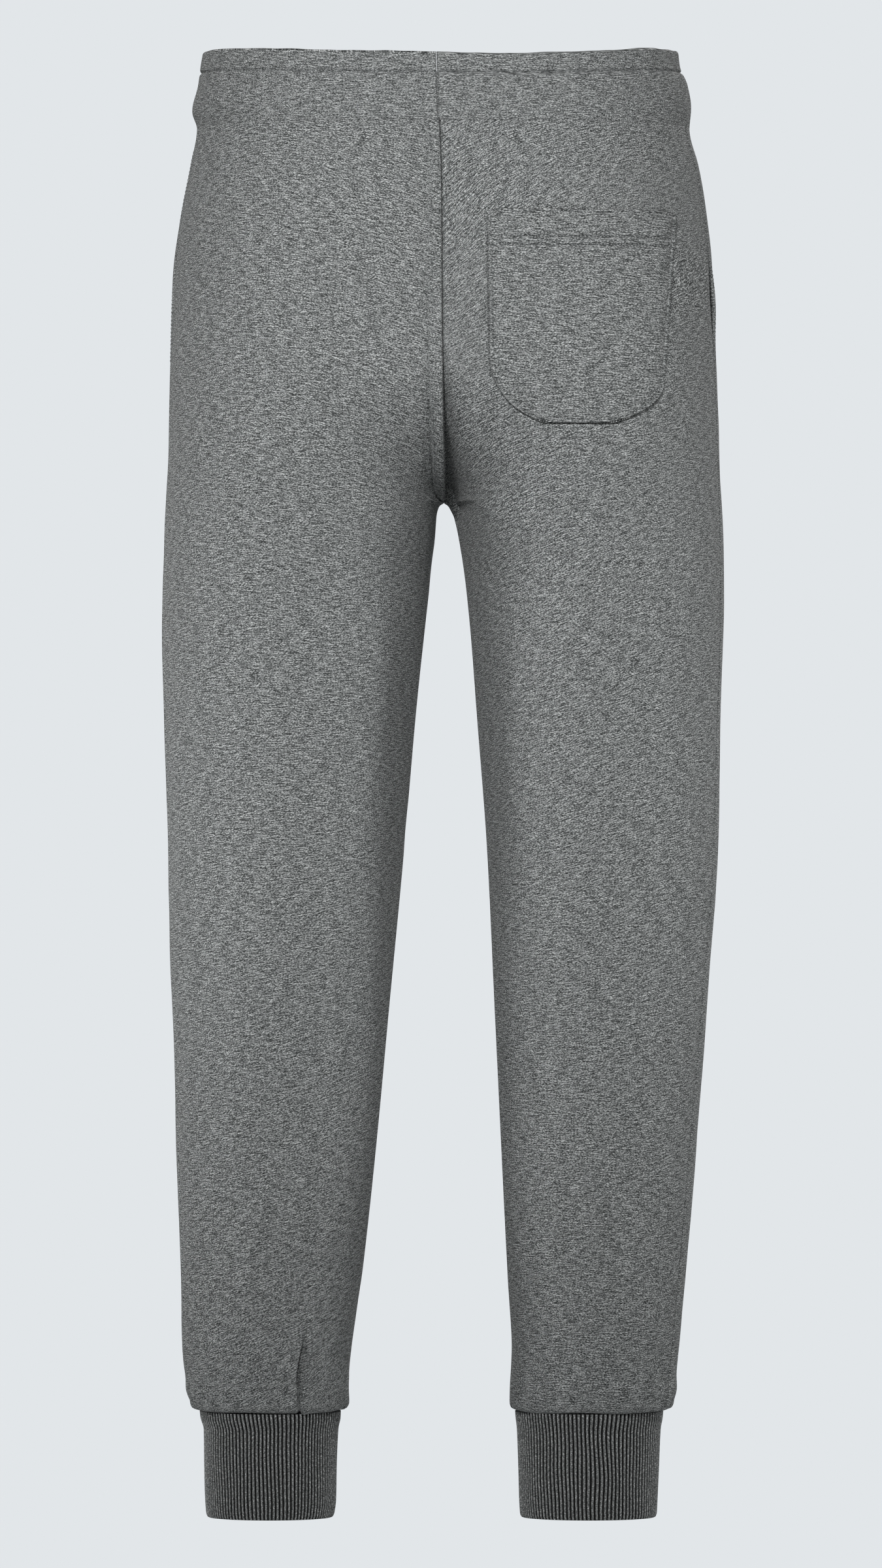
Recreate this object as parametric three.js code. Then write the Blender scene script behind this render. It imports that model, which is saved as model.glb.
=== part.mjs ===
// Jogger sweatpants in heather-grey loopback fleece, worn shape with nobody in them.
// Millimetres. X runs to the wearer's left, Y to the back and Z up.
// The origin is the centre of the waistband, where a waist holds the garment up.
import * as THREE from 'three';

// Cloth and seams
const cloth = 2.0;
const seamGap = 0.3;

// Heights of the main lines
const bandSeam = -31;
const seatTurn = -195;
const crotch = -289.4;
const hemRoll = -911;
const cuffSeam = -918;
const cuffBottom = -991.9;

// Waistband: a folded band round elastic, with one sewn channel line below its top fold
const bandHeight = 56;
const bandDip = 10;
const bandThickness = 4.6;

// Felled centre-back seam: the allowance is turned to the left panel and topstitched
const fellWidth = 7.6;
const fellStep = 1.0;
const fellHeight = 0.8;

// Side seams, and the pocket slits left open in them
const sideSeamBack = { left: 16, right: 26 };
const slitTop = -44;
const slitBottom = -196;
const slitGape = { left: 0.8, right: 3.8 };
const slitGapeTop = -112;
const slitGapeBottom = -190;
const facingWidth = 16;
const facingCloth = 1.2;
const facingGap = 1.0;

// Back patch pocket on the wearer's right, as seen square from behind
const pocketInner = 31.2;
const pocketOuter = 160;
const pocketInnerTaper = 2.2;
const pocketOuterTaper = 10;
const pocketTop = -93.4;
const pocketBottom = -238;
const pocketInnerCorner = { across: 48, up: 45 };
const pocketOuterCorner = { across: 48, up: 31 };
const pocketTopCorner = 6;
const pocketCloth = 1.7;
const pocketLift = 0.75;
const pocketHem = 24.3;
const pocketHemExtra = 0.8;

// Rib-knit cuffs, folded double
const ribCount = 104;
const ribHeight = 0.7;
const cuffThickness = 2.3;
const cuffRoll = 3.4;

// Meshing
const bodyRows = 8;
const turnRows = 6;
const panelColumns = 12;
const bandColumns = 26;
const pocketRows = 13;
const pocketColumns = 10;
const facingRows = 10;
const facingColumns = 4;
const innerPerRib = 2;

const legHeights = [
  -291, -294.5, -300, -310, -330, -370, -425, -490, -560, -635, -715, -795, -850, -888,
];
// How the leg's lower edge rolls under to meet the cuff
const hemRows = [
  { drop: 0, tuck: 0 },
  { drop: 0.62, tuck: 0.1 },
  { drop: 0.95, tuck: 0.35 },
  { drop: 1, tuck: 1 },
];

// A table with named columns, read at any height on a smooth curve that never overshoots its rows
function table(columns, rows) {
  const heights = rows.map((row) => row[0]);
  const curves = {};
  columns.forEach((column, index) => {
    const values = rows.map((row) => row[index]);
    const slopes = heights.slice(1).map((h, i) => (values[i + 1] - values[i]) / (h - heights[i]));
    const tangents = values.map((_, i) => {
      if (i === 0) return slopes[0];
      if (i === values.length - 1) return slopes[i - 1];
      if (slopes[i - 1] * slopes[i] <= 0) return 0;
      return (2 * slopes[i - 1] * slopes[i]) / (slopes[i - 1] + slopes[i]);
    });
    curves[column] = { values, tangents };
  });
  return (column, height) => {
    const { values, tangents } = curves[column];
    const last = heights.length - 1;
    if (height >= heights[0]) return values[0];
    if (height <= heights[last]) return values[last];
    let i = 0;
    while (height < heights[i + 1]) i += 1;
    const span = heights[i + 1] - heights[i];
    const s = (height - heights[i]) / span;
    const s2 = s * s;
    const s3 = s2 * s;
    return (2 * s3 - 3 * s2 + 1) * values[i] + (s3 - 2 * s2 + s) * span * tangents[i]
      + (3 * s2 - 2 * s3) * values[i + 1] + (s3 - s2) * span * tangents[i + 1];
  };
}

// Outer edges of the body and the legs seen from behind, measured away from the middle
const outline = table(
  ['height', 'left', 'right'],
  [
    [25, 165.8, 163.5],
    [14, 167.6, 164.6],
    [0, 169.2, 169.4],
    [-19, 172.4, 171.9],
    [-31, 169.9, 171.2],
    [-55, 174.2, 177.0],
    [-95, 181.6, 183.8],
    [-136, 186.2, 187.6],
    [-197, 188.7, 190.2],
    [-258, 189.9, 192.3],
    [-320, 192.8, 194.3],
    [-380, 194.4, 194.6],
    [-435, 192.9, 193.2],
    [-530, 190.1, 190.6],
    [-638, 187.0, 183.4],
    [-747, 183.8, 174.8],
    [-828, 181.0, 168.2],
    [-876, 179.8, 163.9],
    [-903, 175.9, 161.4],
    [-911, 173.6, 160.2],
  ],
);

// Inner edges of the legs below the crotch, seen the same way
const inseams = table(
  ['height', 'left', 'right'],
  [
    [-289.4, -0.9, 1.3],
    [-291, 1.6, 3.8],
    [-294, 3.0, 5.6],
    [-299, 4.0, 8.0],
    [-312, 4.9, 11.0],
    [-340, 7.9, 15.4],
    [-380, 12.4, 19.6],
    [-435, 18.2, 23.8],
    [-530, 26.4, 31.0],
    [-638, 36.7, 36.2],
    [-747, 47.0, 41.4],
    [-828, 56.0, 45.4],
    [-876, 62.6, 48.0],
    [-903, 64.8, 46.8],
    [-911, 64.4, 46.6],
  ],
);

// How far the body and the legs reach back and forward, and where across a leg they reach farthest
const depth = table(
  ['height', 'back', 'front', 'crown'],
  [
    [25, 116, 114, 0.25],
    [-31, 120, 118, 0.26],
    [-95, 129, 123, 0.32],
    [-150, 134, 124, 0.38],
    [-197, 135, 122, 0.42],
    [-240, 130, 117, 0.46],
    [-289.4, 120, 109, 0.5],
    [-340, 110, 102, 0.5],
    [-435, 97, 92, 0.5],
    [-530, 88, 84, 0.5],
    [-638, 79, 76, 0.5],
    [-747, 71, 67, 0.5],
    [-828, 66, 62, 0.5],
    [-876, 63, 59, 0.5],
    [-911, 57, 54, 0.5],
  ],
);

// Where the centre seam runs: it leans a little to the wearer's left at the waist
const middle = table(
  ['height', 'across'],
  [
    [25, 4.2],
    [-31, 2.7],
    [-75, 1.3],
    [-217, 0.4],
    [-289.4, -1.1],
    [-911, -1.1],
  ],
);

// Edges of each cuff seen from behind, and its half depth
const cuffs = table(
  ['height', 'leftOuter', 'leftInner', 'rightOuter', 'rightInner', 'halfDepth'],
  [
    [-918, 167.4, 70.9, 152.4, 51.0, 53.0],
    [-923, 166.8, 71.1, 152.0, 51.4, 51.5],
    [-931, 164.6, 72.6, 150.6, 52.3, 47.8],
    [-958, 164.2, 73.8, 149.4, 53.3, 45.6],
    [-980, 163.6, 74.2, 148.4, 53.9, 44.8],
    [-991.9, 162.6, 75.8, 147.8, 54.6, 43.6],
  ],
);

// Outer and inner profile of the waistband from its seam up to its top fold
const bandProfile = [
  { up: 0, out: 0, inside: 0 },
  { up: 0.06, out: 0.3, inside: 0 },
  { up: 0.36, out: 0.5, inside: 0 },
  { up: 0.68, out: 0.2, inside: 0 },
  { up: 0.72, out: -0.7, inside: 0 },
  { up: 0.76, out: 0.2, inside: 0 },
  { up: 0.95, out: 0, inside: 0 },
  { up: 1, out: -1.5, inside: 1.3 },
];

const sides = [{ name: 'left', sign: 1 }, { name: 'right', sign: -1 }];
const quarter = Math.PI / 2;
const mix = (a, b, s) => a + (b - a) * s;
const clamp01 = (value) => Math.min(1, Math.max(0, value));
const smooth = (value) => clamp01(value) ** 2 * (3 - 2 * clamp01(value));

// The sizes of one half of the body, or of one leg, at a height
function section(side, row) {
  const z = row.z;
  const centre = side.sign * middle('across', z) + seamGap / 2;
  const tuck = row.tuck || 0;
  const turn = clamp01((seatTurn - z) / (seatTurn - crotch));
  const inner = z <= crotch ? inseams(side.name, z) : centre;
  const outer = mix(outline(side.name, z), cuffs(`${side.name}Outer`, cuffSeam) - cuffThickness, tuck);
  const legInner = mix(Math.max(inner, centre), cuffs(`${side.name}Inner`, cuffSeam) + cuffThickness, tuck);
  const back = mix(depth('back', z), cuffs('halfDepth', cuffSeam) - cuffThickness, tuck);
  const front = mix(depth('front', z), cuffs('halfDepth', cuffSeam) - cuffThickness, tuck);
  return {
    outer,
    inner: legInner,
    back,
    front,
    crown: mix(legInner, outer, depth('crown', z)),
    saddle: 1 - turn,
  };
}

// A point on the outer face of the cloth. Round runs from 0 at the side to 2 at the centre seam or
// inseam on the back, and to -2 on the front.
function skin(side, row, round) {
  const s = section(side, row);
  const face = round >= 0 ? 1 : -1;
  const reach = face > 0 ? s.back : s.front;
  const t = Math.abs(round);
  let across;
  let away;
  if (t <= 1) {
    across = mix(s.crown, s.outer, Math.cos(t * quarter));
    away = reach * Math.sin(t * quarter);
  } else {
    // Between the legs the two halves meet in a saddle that deepens towards the crotch
    const share = 1 - Math.sin(Math.min(t - 1, 1) * quarter);
    const lift = Math.sqrt(share ** 2 + s.saddle ** 2 * (1 - share ** 2));
    across = mix(s.inner, s.crown, share);
    away = Math.max(reach * Math.sqrt(1 - (1 - lift) ** 2), seamGap / 2);
  }
  return new THREE.Vector3(side.sign * across, face * away, row.z);
}

// The place round the back where the cloth is a given distance from the middle
function roundAt(side, row, across) {
  const s = section(side, row);
  if (across >= s.crown) return Math.acos(clamp01((across - s.crown) / (s.outer - s.crown))) / quarter;
  return 1 + Math.asin(clamp01((s.crown - across) / (s.crown - s.inner))) / quarter;
}

// The place round the back where the side seam runs
function seamRound(side, row) {
  const s = section(side, row);
  return Math.asin(sideSeamBack[side.name] / s.back) / quarter;
}

// The outward direction of the cloth between two neighbouring rows
function outward(side, above, row, below, round) {
  const step = 0.02;
  const along = skin(side, below, round).sub(skin(side, above, round));
  const ahead = skin(side, row, Math.min(round + step, 2));
  const behind = skin(side, row, Math.max(round - step, -2));
  const normal = along.cross(ahead.sub(behind)).normalize();
  return normal.multiplyScalar(side.sign);
}

// A closed wall between an outer and an inner grid of points with the same rows and columns
function wall(outer, inner) {
  const rows = outer.length;
  const columns = outer[0].length;
  const points = [...outer.flat(), ...inner.flat()];
  const layer = rows * columns;
  const faces = [];
  const quad = (a, b, c, d) => faces.push(a, b, c, a, c, d);
  for (let i = 0; i < rows - 1; i += 1) {
    for (let j = 0; j < columns - 1; j += 1) {
      const a = i * columns + j;
      quad(a, a + columns, a + columns + 1, a + 1);
      quad(layer + a, layer + a + 1, layer + a + columns + 1, layer + a + columns);
    }
    const first = i * columns;
    const last = first + columns - 1;
    quad(first, layer + first, layer + first + columns, first + columns);
    quad(last, last + columns, layer + last + columns, layer + last);
  }
  for (let j = 0; j < columns - 1; j += 1) {
    const foot = (rows - 1) * columns + j;
    quad(j, j + 1, layer + j + 1, layer + j);
    quad(foot, layer + foot, layer + foot + 1, foot + 1);
  }
  return closedGeometry(points, faces);
}

// A geometry with its faces turned outwards
function closedGeometry(points, faces) {
  let volume = 0;
  const spread = new THREE.Vector3();
  for (let i = 0; i < faces.length; i += 3) {
    const [a, b, c] = [points[faces[i]], points[faces[i + 1]], points[faces[i + 2]]];
    volume += a.dot(spread.crossVectors(b, c));
  }
  if (volume < 0) faces.reverse();
  const geometry = new THREE.BufferGeometry().setFromPoints(points);
  geometry.setIndex(faces);
  geometry.computeVertexNormals();
  return geometry;
}

// Rows of a leg panel from the waistband seam down to the cuff
function panelRows() {
  const rows = [];
  const top = bandSeam - seamGap;
  for (let i = 0; i < bodyRows; i += 1) rows.push({ z: mix(top, seatTurn, i / bodyRows) });
  for (let i = 0; i <= turnRows; i += 1) {
    rows.push({ z: seatTurn - (seatTurn - crotch) * Math.sin((i / turnRows) * quarter) });
  }
  legHeights.forEach((z) => rows.push({ z }));
  hemRows.forEach(({ drop, tuck }) => rows.push({ z: mix(hemRoll, cuffSeam, drop), tuck }));
  return rows;
}

// How far the two edges of a pocket slit stand apart
function gape(side, z) {
  if (z > slitGapeTop || z < slitGapeBottom) return 0;
  const along = (slitGapeTop - z) / (slitGapeTop - slitGapeBottom);
  return slitGape[side.name] * Math.sin(along * Math.PI) ** 2;
}

// Columns of a panel: evenly round the leg, with two close ones at the edge of the felled seam
function panelRounds(side, row, face) {
  const start = seamRound(side, row);
  const fellOuter = roundAt(side, row, section(side, row).inner + fellWidth + fellStep);
  const fellInner = roundAt(side, row, section(side, row).inner + fellWidth);
  const end = face > 0 ? fellOuter : -2;
  const steps = face > 0 ? panelColumns : panelColumns + 2;
  const rounds = [];
  for (let j = 0; j <= steps; j += 1) rounds.push(mix(start, end, j / steps));
  if (face > 0) rounds.push(fellInner, 2);
  return rounds;
}

// Holds a point on its own side of the centre seam
function keepToSide(side, point, limit) {
  if (side.sign * point.x < limit) point.x = side.sign * limit;
  return point;
}

// One leg panel, from waistband to cuff, with its side edge opened along the pocket slit
function panel(side, face) {
  const rows = panelRows();
  const outer = [];
  const inner = [];
  rows.forEach((row, i) => {
    const above = rows[Math.max(i - 1, 0)];
    const below = rows[Math.min(i + 1, rows.length - 1)];
    const rounds = panelRounds(side, row, face);
    const outerRow = [];
    const innerRow = [];
    rounds.forEach((round, j) => {
      const normal = outward(side, above, row, below, round);
      const point = skin(side, row, round);
      if (j === 0) {
        point.y += face * (seamGap / 2);
        if (face < 0) {
          point.y -= gape(side, row.z);
          point.x += side.sign * gape(side, row.z) * 0.5;
        }
      }
      const felled = face > 0 && side.name === 'left' && j >= rounds.length - 2;
      const raise = felled ? fellHeight * smooth((row.z - crotch) / 12) : 0;
      const limit = section(side, row).inner;
      innerRow.push(keepToSide(side, point.clone().addScaledVector(normal, -cloth), limit));
      outerRow.push(keepToSide(side, point.addScaledVector(normal, raise), limit));
    });
    outer.push(outerRow);
    inner.push(innerRow);
  });
  return wall(outer, inner);
}

// The waistband: one strip all round, closed by a join at the centre back
function waistband() {
  const rounds = [];
  sides.forEach((side) => {
    for (let j = 0; j <= bandColumns; j += 1) {
      rounds.push({ side, round: side.sign * mix(2, -2, j / bandColumns) });
    }
  });
  const place = (side, round, up, out) => {
    const row = { z: mix(bandSeam, bandSeam + bandHeight, up) };
    const point = skin(side, row, round);
    const ahead = skin(side, row, Math.min(round + 0.02, 2));
    const behind = skin(side, row, Math.max(round - 0.02, -2));
    const normal = new THREE.Vector3(behind.y - ahead.y, ahead.x - behind.x, 0).normalize();
    normal.multiplyScalar(-side.sign);
    const s = section(side, row);
    const dip = bandDip * (Math.abs(point.y) / Math.max(s.back, s.front)) ** 2;
    point.addScaledVector(normal, out);
    point.z = mix(bandSeam, bandSeam + bandHeight - dip, up);
    return point;
  };
  const outer = bandProfile.map(({ up, out }) => rounds.map(({ side, round }) => place(side, round, up, out)));
  const inner = bandProfile.map(({ up, inside }) => rounds.map(
    ({ side, round }) => place(side, round, up, inside - bandThickness),
  ));
  return wall(outer, inner);
}

// The left and right edge of the patch pocket at a height, measured from the middle
function pocketEdges(z) {
  const low = z - pocketBottom;
  const corner = ({ across, up }) => {
    const share = clamp01((up - low) / up);
    return across * (1 - Math.sqrt(1 - share * share));
  };
  const chamfer = Math.max(0, pocketTopCorner - (pocketTop - z));
  const down = (pocketTop - z) / (pocketTop - pocketBottom);
  return {
    inner: pocketInner + pocketInnerTaper * down + corner(pocketInnerCorner) + chamfer,
    outer: pocketOuter - pocketOuterTaper * down - corner(pocketOuterCorner),
  };
}

// The patch pocket, laid on the right back panel and thicker along its hem
function backPocket() {
  const side = sides[1];
  const outer = [];
  const inner = [];
  const hemLine = pocketTop - pocketHem;
  const heights = [pocketTop, pocketTop - pocketTopCorner, hemLine + 1, hemLine];
  for (let i = 1; i <= pocketRows - 4; i += 1) {
    heights.push(mix(hemLine, pocketBottom, Math.sin((i / (pocketRows - 4)) * quarter)));
  }
  heights.forEach((z, i) => {
    const row = { z };
    const edges = pocketEdges(z);
    const outerRow = [];
    const innerRow = [];
    for (let j = 0; j <= pocketColumns; j += 1) {
      const across = mix(edges.outer, edges.inner, j / pocketColumns);
      const round = roundAt(side, row, across);
      const normal = outward(side, { z: z + 2 }, row, { z: z - 2 }, round);
      const point = skin(side, row, round);
      const thickness = pocketCloth + (i < 3 ? pocketHemExtra : 0);
      innerRow.push(point.clone().addScaledVector(normal, pocketLift));
      outerRow.push(point.addScaledVector(normal, pocketLift + thickness));
    }
    outer.push(outerRow);
    inner.push(innerRow);
  });
  return wall(outer, inner);
}

// The self-cloth facing behind a pocket slit
function pocketFacing(side) {
  const outer = [];
  const inner = [];
  const under = cloth + facingGap;
  for (let i = 0; i <= facingRows; i += 1) {
    const row = { z: mix(slitTop, slitBottom, i / facingRows) };
    const s = section(side, row);
    const span = facingWidth / s.back / quarter;
    const outerRow = [];
    const innerRow = [];
    for (let j = 0; j <= facingColumns; j += 1) {
      const round = seamRound(side, row) + mix(0.5, -0.5, j / facingColumns) * span;
      const normal = outward(side, { z: row.z + 2 }, row, { z: row.z - 2 }, round);
      const point = skin(side, row, round);
      outerRow.push(point.clone().addScaledVector(normal, -under));
      innerRow.push(point.addScaledVector(normal, -under - facingCloth));
    }
    outer.push(outerRow);
    inner.push(innerRow);
  }
  return wall(outer, inner);
}

// A rib-knit cuff: ribs raised all round the outside over a plain inside
function cuff(side) {
  const place = (z, angle, out) => {
    const outerEdge = cuffs(`${side.name}Outer`, z);
    const innerEdge = cuffs(`${side.name}Inner`, z);
    const centre = (outerEdge + innerEdge) / 2;
    const halfWidth = (outerEdge - innerEdge) / 2 + out;
    const halfDepth = cuffs('halfDepth', z) + out;
    const x = side.sign * (centre + halfWidth * Math.cos(angle));
    return new THREE.Vector3(x, halfDepth * Math.sin(angle), z);
  };
  const ribShape = [
    { at: 0, out: 0 },
    { at: 0.28, out: 1 },
    { at: 0.72, out: 1 },
  ];
  const outerRings = [
    { z: cuffSeam - seamGap, out: 0 },
    { z: -931, out: 0 },
    { z: cuffBottom + cuffRoll, out: 0 },
    { z: cuffBottom, out: -cuffThickness / 2 },
  ];
  const innerRings = [
    { z: cuffBottom + cuffRoll, out: -cuffThickness },
    { z: cuffSeam - seamGap, out: -cuffThickness },
  ];
  const ribTurn = (2 * Math.PI) / ribCount;
  const points = [];
  const loops = [];
  outerRings.forEach(({ z, out }) => {
    const loop = [];
    for (let k = 0; k < ribCount; k += 1) {
      ribShape.forEach((step) => {
        const angle = (k + step.at) * ribTurn;
        loop.push(points.push(place(z, angle, out + step.out * ribHeight)) - 1);
      });
    }
    loops.push(loop);
  });
  innerRings.forEach(({ z, out }) => {
    const loop = [];
    for (let k = 0; k < ribCount / innerPerRib; k += 1) {
      loop.push(points.push(place(z, k * innerPerRib * ribTurn, out)) - 1);
    }
    loops.push(loop);
  });
  const faces = [];
  loops.forEach((loop, i) => joinLoops(loop, loops[(i + 1) % loops.length], faces));
  return closedGeometry(points, faces);
}

// Faces between two closed loops, where one may have a whole number of times the other's points
function joinLoops(from, to, faces) {
  const fine = from.length >= to.length ? from : to;
  const coarse = from.length >= to.length ? to : from;
  const flip = fine !== from;
  const face = (a, b, c) => (flip ? faces.push(a, c, b) : faces.push(a, b, c));
  const times = fine.length / coarse.length;
  const half = Math.floor(times / 2);
  coarse.forEach((corner, k) => {
    const next = coarse[(k + 1) % coarse.length];
    for (let m = 0; m < times; m += 1) {
      const a = fine[k * times + m];
      const b = fine[(k * times + m + 1) % fine.length];
      if (m === half) face(corner, a, next);
      face(a, b, m < half ? corner : next);
    }
  });
}

const fleece = () => new THREE.MeshStandardMaterial({ color: 0x70777a, roughness: 0.95, metalness: 0 });
const rib = () => new THREE.MeshStandardMaterial({ color: 0x53585a, roughness: 0.95, metalness: 0 });

const joggers = new THREE.Group();
function add(name, geometry, material) {
  const mesh = new THREE.Mesh(geometry, material);
  mesh.name = name;
  joggers.add(mesh);
}

add('waistband', waistband(), fleece());
sides.forEach((side) => {
  add(`back_${side.name}`, panel(side, 1), fleece());
  add(`front_${side.name}`, panel(side, -1), fleece());
  add(`pocket_facing_${side.name}`, pocketFacing(side), fleece());
  add(`cuff_${side.name}`, cuff(side), rib());
});
add('back_pocket', backPocket(), fleece());

export default joggers;
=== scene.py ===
import math
from functools import lru_cache

import bmesh
import bpy
from mathutils import Matrix, Vector, noise


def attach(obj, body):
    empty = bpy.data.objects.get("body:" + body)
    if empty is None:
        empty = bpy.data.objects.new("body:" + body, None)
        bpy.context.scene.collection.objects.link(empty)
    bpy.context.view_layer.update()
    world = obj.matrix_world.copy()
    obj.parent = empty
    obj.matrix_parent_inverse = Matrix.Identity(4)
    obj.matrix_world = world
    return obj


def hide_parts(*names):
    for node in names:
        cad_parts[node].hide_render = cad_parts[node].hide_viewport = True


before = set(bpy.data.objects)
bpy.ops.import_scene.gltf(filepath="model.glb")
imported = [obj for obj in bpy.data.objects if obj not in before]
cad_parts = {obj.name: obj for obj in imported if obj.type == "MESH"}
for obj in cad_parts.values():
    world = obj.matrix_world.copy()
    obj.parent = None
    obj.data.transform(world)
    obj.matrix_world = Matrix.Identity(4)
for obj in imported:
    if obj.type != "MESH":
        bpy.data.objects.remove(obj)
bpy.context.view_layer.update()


# Leg panels: two backs and two fronts of loopback fleece, each cut in one from waistband to cuff.
# Seams join them at the sides, inseams and centre, where the back seam is felled to the left.
# They stand filled out with nobody in them. Lengths are millimetres until a mesh is made.
cloth = 2.0
seam_gap = 0.3
band_seam = -31.0
seat_turn = -195.0
crotch = -289.4
arch_height = 60.0
arch_sharpness = 10
hem_roll = -911.0
hem_length = 13.0
hem_bend = 1.5
cuff_seam = -918.0
cuff_thickness = 2.3
side_seam_back = {"left": 16.0, "right": 26.0}
slit_top = -44.0
slit_bottom = -196.0
slit_gape = {"left": 0.8, "right": 3.8}
slit_gape_top = -112.0
slit_gape_bottom = -190.0
fell_width = 7.6
fell_height = 1.5
fell_inset = 1.6
seam_dip = 0.9
under_dip = 3.0
signs = {"left": 1, "right": -1}
quarter = math.pi / 2
way_step = 0.01


def curve(columns, rows):
    """A table with named columns, read at any height on a smooth curve that never overshoots."""
    heights = [row[0] for row in rows]
    lines = {}
    for index, column in enumerate(columns):
        values = [row[index] for row in rows]
        steps = zip(values, values[1:], heights, heights[1:])
        slopes = [(end - start) / (low - high) for start, end, high, low in steps]
        tangents = [slopes[0]]
        for before, after in zip(slopes, slopes[1:]):
            tangents.append(0.0 if before * after <= 0 else 2 * before * after / (before + after))
        tangents.append(slopes[-1])
        lines[column] = (values, tangents)

    @lru_cache(maxsize=None)
    def read(column, height):
        values, tangents = lines[column]
        if height >= heights[0]:
            return values[0]
        if height <= heights[-1]:
            return values[-1]
        i = 0
        while height < heights[i + 1]:
            i += 1
        span = heights[i + 1] - heights[i]
        s = (height - heights[i]) / span
        rise = s * s * (3 - 2 * s)
        start_bend = s * (1 - s) ** 2 * span * tangents[i]
        end_bend = s * s * (s - 1) * span * tangents[i + 1]
        return values[i] + (values[i + 1] - values[i]) * rise + start_bend + end_bend

    return read


# Outer edges of the body and the legs seen from behind, measured away from the middle
outline = curve(
    ["height", "left", "right"],
    [
        [25, 165.8, 163.5], [14, 167.6, 164.6], [0, 169.2, 169.4], [-19, 172.4, 171.9],
        [-31, 169.9, 171.2], [-55, 174.2, 177.0], [-95, 181.6, 183.8], [-136, 186.2, 187.6],
        [-197, 188.7, 190.2], [-258, 189.9, 192.3], [-320, 192.8, 194.3], [-380, 194.4, 194.6],
        [-435, 192.9, 193.2], [-530, 190.1, 190.6], [-638, 187.0, 183.4], [-747, 183.8, 174.8],
        [-828, 181.0, 168.2], [-876, 179.8, 163.9], [-903, 175.9, 161.4], [-911, 173.6, 160.2],
    ],
)
# Inner edges of the legs below the crotch, seen the same way
inseams = curve(
    ["height", "left", "right"],
    [
        [-289.4, -0.9, 1.3], [-291, 1.6, 3.8], [-294, 3.0, 5.6], [-299, 4.0, 8.0], [-312, 4.9, 11.0],
        [-340, 7.9, 15.4], [-380, 12.4, 19.6], [-435, 18.2, 23.8], [-530, 26.4, 31.0],
        [-638, 36.7, 36.2], [-747, 47.0, 41.4], [-828, 56.0, 45.4], [-876, 62.6, 48.0],
        [-903, 64.8, 46.8], [-911, 64.4, 46.6],
    ],
)
# How far the cloth reaches back and forward, and where across a leg it reaches farthest
depth = curve(
    ["height", "back", "front", "crown"],
    [
        [25, 116, 114, 0.25], [-31, 120, 118, 0.26], [-95, 129, 123, 0.32],
        [-150, 134, 124, 0.38], [-197, 135, 122, 0.42], [-240, 130, 117, 0.46],
        [-289.4, 120, 109, 0.5], [-340, 110, 102, 0.5], [-435, 97, 92, 0.5], [-530, 88, 84, 0.5],
        [-638, 79, 76, 0.5], [-747, 71, 67, 0.5], [-828, 66, 62, 0.5], [-876, 63, 59, 0.5],
        [-911, 57, 54, 0.5],
    ],
)
# Where the centre seam runs: it leans a little to the wearer's left at the waist
middle = curve(
    ["height", "across"],
    [[25, 4.2], [-31, 2.7], [-75, 1.3], [-217, 0.4], [-289.4, -1.1], [-911, -1.1]],
)
# Edges of each cuff seen from behind, and its half depth
cuffs = curve(
    ["height", "left_outer", "left_inner", "right_outer", "right_inner", "half_depth"],
    [
        [-918, 167.4, 70.9, 152.4, 51.0, 53.0], [-923, 166.8, 71.1, 152.0, 51.4, 51.5],
        [-931, 164.6, 72.6, 150.6, 52.3, 47.8], [-958, 164.2, 73.8, 149.4, 53.3, 45.6],
        [-980, 163.6, 74.2, 148.4, 53.9, 44.8], [-991.9, 162.6, 75.8, 147.8, 54.6, 43.6],
    ],
)
# The slant of the knit's courses across each back panel, in degrees, rising to the wearer's right
slants = {
    "left": curve(
        ["height", "outer", "middle", "inner"],
        [
            [-60, 22, -9, -14], [-110, 12, -9, -15], [-212, 12, -9, -16], [-261, 12, -8, -20],
            [-359, 12, -2, 5], [-457, 12, 2, 8], [-556, 12, 6, 14], [-654, 12, 12, 24],
            [-752, 13, 12, 30], [-880, 18, 25, 40],
        ],
    ),
    "right": curve(
        ["height", "outer", "middle", "inner"],
        [
            [-60, 13, 15, 30], [-114, 15, 24, 40], [-163, 16, 10, 40], [-212, 16, 8, 25],
            [-280, 18, 14, 32], [-359, 18, 20, 22], [-457, 18, 17, 22], [-556, 16, 15, 12],
            [-654, 15, 8, 0], [-752, 14, 3, 0], [-880, 13, 0, 0],
        ],
    ),
}
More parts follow.
